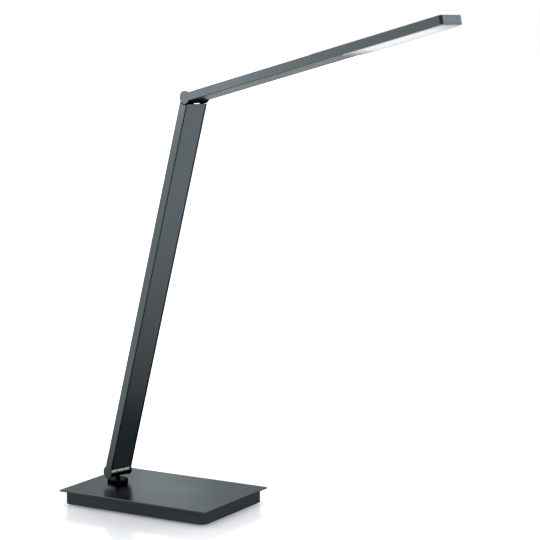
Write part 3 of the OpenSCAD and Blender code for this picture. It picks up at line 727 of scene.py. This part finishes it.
def make_upper_channel():
    """The upper arm: side walls with cheeks, a wall round the tip, and the top with the button's
    hole. A straight line leads from each cheek up to the top of its wall. It touches the cheek's
    circle at the slope angle, so x cos(slope) + z sin(slope) = r on it, and at top_x it ends."""
    _, (length, outer, r) = UPPER.extent("upper_channel")
    half, tip_start, tip, top_start, button_hole_r = UPPER_HALF, 40.0, 3.5, 9, 5.7
    slope = 72.0
    top_x = (r - half * math.sin(math.radians(slope))) / math.cos(math.radians(slope))
    _, disc, blend = cheek(r, half, 1.0)
    arcs = [
        (top_x, half, 0, (slope + 90) / 2, (slope + 90) / 2),
        (*disc[:3], slope, disc[4]),
        blend,
        (tip_start, -half, 0, 270, 270),
        (tip_start, half, 0, 90, 90),
    ]
    walls = side_walls(arcs, outer, [True, False, False, False, True])
    bend = [
        (tip_start, -outer, 0, 270, 270),
        (length - tip, -outer + tip, tip, 270, 360),
        (length - tip, outer - tip, tip, 0, 90),
        (tip_start, outer, 0, 90, 90),
        (tip_start, outer - WALL, 0, 270, 270),
        (length - tip, outer - tip, -(tip - WALL), 90, 0),
        (length - tip, -outer + tip, -(tip - WALL), 0, -90),
        (tip_start, -outer + WALL, 0, 90, 90),
    ]
    rim = plate(bend, -half, half, FRONT_EDGE, [BEND] * 4 + [BEND_IN] * 4)
    line, nose = outer - BEND, tip - BEND
    top_arcs = [
        (length - tip, outer - tip, nose, 0, 90),
        (top_start, line, 0, 90, 90),
        (top_start, -line, 0, 270, 270),
        (length - tip, -outer + tip, nose, 270, 360),
    ]
    low, high = UPPER.extent("switch_button")
    hole = round_hole((low[0] + high[0]) / 2, 0, button_hole_r)
    top = plate(top_arcs, half - WALL, half, 0, 0, [hole])
    build("upper_arm_channel", [*walls, rim, top], UPPER, "upper_arm", "upper_channel")


# Light and switch

def make_light():
    """The white rim round the LED field, and the opal panel in it."""
    low, high = UPPER.extent("diffuser_frame")
    width, corner_r, hole_corner_r = 1.3, 1.6, 0.6
    hole_x, hole_y = (low[0] + width, high[0] - width), (low[1] + width, high[1] - width)
    hole = box_hole(hole_x, hole_y, hole_corner_r)
    outline = box_outline((low[0], high[0]), (low[1], high[1]), corner_r)
    rim = plate(outline, low[2], high[2], 0.45, 0.2, [hole])
    build("white_rim_frame", [rim], UPPER, "upper_arm", "diffuser_frame")
    low, high = UPPER.extent("diffuser_panel")
    outline = box_outline((low[0], high[0]), (low[1], high[1]), 0.5)
    panel = plate(outline, low[2], high[2], 0.25, 0.1)
    build("opal_diffuser", [panel], UPPER, "upper_arm", "diffuser_panel")


def make_button():
    """The press button: a dished cap, its top a shallow hollow arc inside a rounded rim. The arc's
    centre is dish_height above the top, and dish is how deep it goes."""
    low, high = UPPER.extent("switch_button")
    centre_x = (low[0] + high[0]) / 2
    r, top, skirt_r, skirt_top, edge, rim = 5.4, high[2], 6.8, low[2] + 0.9, 0.2, 0.5
    dish_height, dish = 27.0, 0.3
    arcs = [
        (NEAR_AXIS, low[2], 0, 270, 270),
        (skirt_r - edge, low[2] + edge, edge, 270, 360),
        (skirt_r - edge, skirt_top - edge, edge, 0, 90),
        (r, skirt_top, 0, 0, 0),
        (r - rim, top - rim, rim, 0, 90),
        (0, top + dish_height, -dish_height - dish, 279, 270.1),
    ]
    build("press_button", [moved(turned(arcs, 72), centre_x)], UPPER, "button", "switch_button")


make_base_plate()
make_antislip_pad()
make_cable_gland()
make_swivel_head()
make_bracket("lower_knuckles", "lower_bracket", LOWER, LOWER_HALF, "lower_arm")
make_bracket("elbow_knuckles", "elbow_bracket", UPPER, UPPER_HALF, "upper_arm")
make_elbow_cradle()
make_lower_channel()
make_upper_channel()
make_cover("lower_arm_cover", "lower_cover", LOWER, "lower_arm", 0, 0.45)
make_cover("upper_arm_cover", "upper_cover", UPPER, "upper_arm", 0.4, 0.2)
make_light()
make_button()


# Camera, floor and light

def make_camera():
    """The photograph's viewpoint, solved from the lamp's own edges."""
    data = bpy.data.cameras.new("camera")
    data.sensor_width = 36
    data.lens = 124.4
    data.clip_start, data.clip_end = 0.1, 50
    camera = bpy.data.objects.new("camera", data)
    bpy.context.scene.collection.objects.link(camera)
    camera.location = (1.2990, -1.9332, 0.5992)
    camera.rotation_euler = (math.radians(90 - 7.313), 0, math.radians(30.556))
    bpy.context.scene.camera = camera


def distance_from(nodes, links, x, y):
    """Distance of the shaded point from a spot on the floor, in metres."""
    coords = nodes.new("ShaderNodeTexCoord")
    away = nodes.new("ShaderNodeVectorMath")
    away.operation = "DISTANCE"
    away.inputs[1].default_value = (x, y, 0)
    links.new(coords.outputs["Object"], away.inputs[0])
    return away.outputs["Value"]


def make_floor():
    """A white floor that keeps the lamp's soft shadow and a blurred mirror image. Its own white for
    the camera grows with the distance from the lamp, which paints a soft shadow round the lamp on top
    of the real one. Metal sees it through painted shade, dark close by and white further out. From
    below it can be seen through."""
    mesh = bpy.data.meshes.new("floor")
    size, z = 40.0, -0.0003
    corners = [(-size, -size, z), (size, -size, z), (size, size, z), (-size, size, z)]
    mesh.from_pydata(corners, [], [(0, 1, 2, 3)])
    floor = bpy.data.objects.new("floor", mesh)
    bpy.context.scene.collection.objects.link(floor)
    material, nodes, links, shader = new_material("studio_floor")
    shader.inputs["Base Color"].default_value = (0.78, 0.8, 0.82, 1)
    shader.inputs["Roughness"].default_value = 0.16
    path = nodes.new("ShaderNodeLightPath")
    # Painted shadow: the camera's extra white on the floor is 0.22 by the lamp and rises to 1.0 at 0.34 m, with a
    # faint blue tint that shows only in this shade
    painted_shadow_ramp = ramp(nodes, links, distance_from(nodes, links, 0.0, -0.02), 0.22, 1.0, 0.08, 0.34)
    painted_shadow_lift = maths(nodes, links, "MULTIPLY", path.outputs["Is Camera Ray"], painted_shadow_ramp)
    links.new(painted_shadow_lift, shader.inputs["Emission Strength"])
    shader.inputs["Emission Color"].default_value = (0.96, 0.985, 1, 1)
    # Painted shade: glossy rays see the floor as an emission that is 0.15 near the lamp's foot and white from 0.7
    # m out
    reflected_floor_painted_shade = nodes.new("ShaderNodeEmission")
    from_foot = distance_from(nodes, links, SWIVEL.origin[0] + 0.065, SWIVEL.origin[1] + 0.04)
    painted_shade_close_by = ramp(nodes, links, from_foot, 0.15, 1.0, 0.08, 0.15)
    painted_shade_further_out = ramp(nodes, links, from_foot, 0.3, 1.0, 0.13, 0.7)
    links.new(maths(nodes, links, "MULTIPLY", painted_shade_close_by, painted_shade_further_out), reflected_floor_painted_shade.inputs["Strength"])
    mix = nodes.new("ShaderNodeMixShader")
    links.new(path.outputs["Is Glossy Ray"], mix.inputs["Fac"])
    links.new(shader.outputs["BSDF"], mix.inputs[1])
    links.new(reflected_floor_painted_shade.outputs["Emission"], mix.inputs[2])
    side = nodes.new("ShaderNodeNewGeometry")
    through = nodes.new("ShaderNodeBsdfTransparent")
    one_sided = nodes.new("ShaderNodeMixShader")
    links.new(side.outputs["Backfacing"], one_sided.inputs["Fac"])
    links.new(mix.outputs["Shader"], one_sided.inputs[1])
    links.new(through.outputs["BSDF"], one_sided.inputs[2])
    links.new(one_sided.outputs["Shader"], nodes["Material Output"].inputs["Surface"])
    mesh.materials.append(material)


def make_world():
    """A soft grey room for the light, seen as white by the camera and in reflections. Reflections
    darken towards one fixed direction, the front right of the room."""
    world = bpy.data.worlds.new("world")
    bpy.context.scene.world = world
    world.use_nodes = True
    nodes, links = world.node_tree.nodes, world.node_tree.links
    background = nodes["Background"]
    path = nodes.new("ShaderNodeLightPath")
    white = path.outputs["Is Camera Ray"]
    for ray in ("Is Glossy Ray", "Is Transmission Ray"):
        white = maths(nodes, links, "MAXIMUM", white, path.outputs[ray])
    coords = nodes.new("ShaderNodeTexCoord")
    facing = nodes.new("ShaderNodeVectorMath")
    facing.operation = "DOT_PRODUCT"
    facing.inputs[1].default_value = (0.543, -0.808, 0.23)
    links.new(coords.outputs["Generated"], facing.inputs[0])
    darker = ramp(nodes, links, facing.outputs["Value"], 0, 0.84, -0.4, 0.75)
    dark = maths(nodes, links, "MULTIPLY", darker, path.outputs["Is Glossy Ray"])
    room = ramp(nodes, links, white, 0.45, 1.0, 0, 1)
    links.new(maths(nodes, links, "SUBTRACT", room, dark), background.inputs["Strength"])
    background.inputs["Color"].default_value = (1, 1, 1, 1)


def add_softbox(name, place, aim, width, height, watts):
    """A rectangular light that faces the point aim. The camera doesn't see it, reflections do."""
    data = bpy.data.lights.new(name, "AREA")
    data.shape = "RECTANGLE"
    data.size, data.size_y = width, height
    data.energy = watts
    light = bpy.data.objects.new(name, data)
    light.visible_camera = False
    bpy.context.scene.collection.objects.link(light)
    light.location = place
    away = np.array(place, float) - np.array(aim, float)
    yaw = math.atan2(away[1], away[0]) + math.pi / 2
    tilt = math.acos(away[2] / np.linalg.norm(away))
    light.rotation_euler = (tilt, 0, yaw)


make_camera()
make_floor()
make_world()
add_softbox("overhead", (-0.3, -0.4, 2.5), (0, 0, 0.2), 3.0, 3.0, 34)
add_softbox("elbow_glow", (-0.84, -0.45, 0.63), (0.08, -0.04, 0.52), 0.28, 0.3, 0.75)
add_softbox("plate_glow", (-1.62, 2.41, 0.77), (0.0, 0.0, 0.02), 0.22, 0.8, 0.55)
add_softbox("tip_glow", (1.2, 0.5, 0.85), (0.46, -0.14, 0.6), 0.5, 0.5, 1.0)
bpy.context.scene.view_settings.view_transform = "Standard"
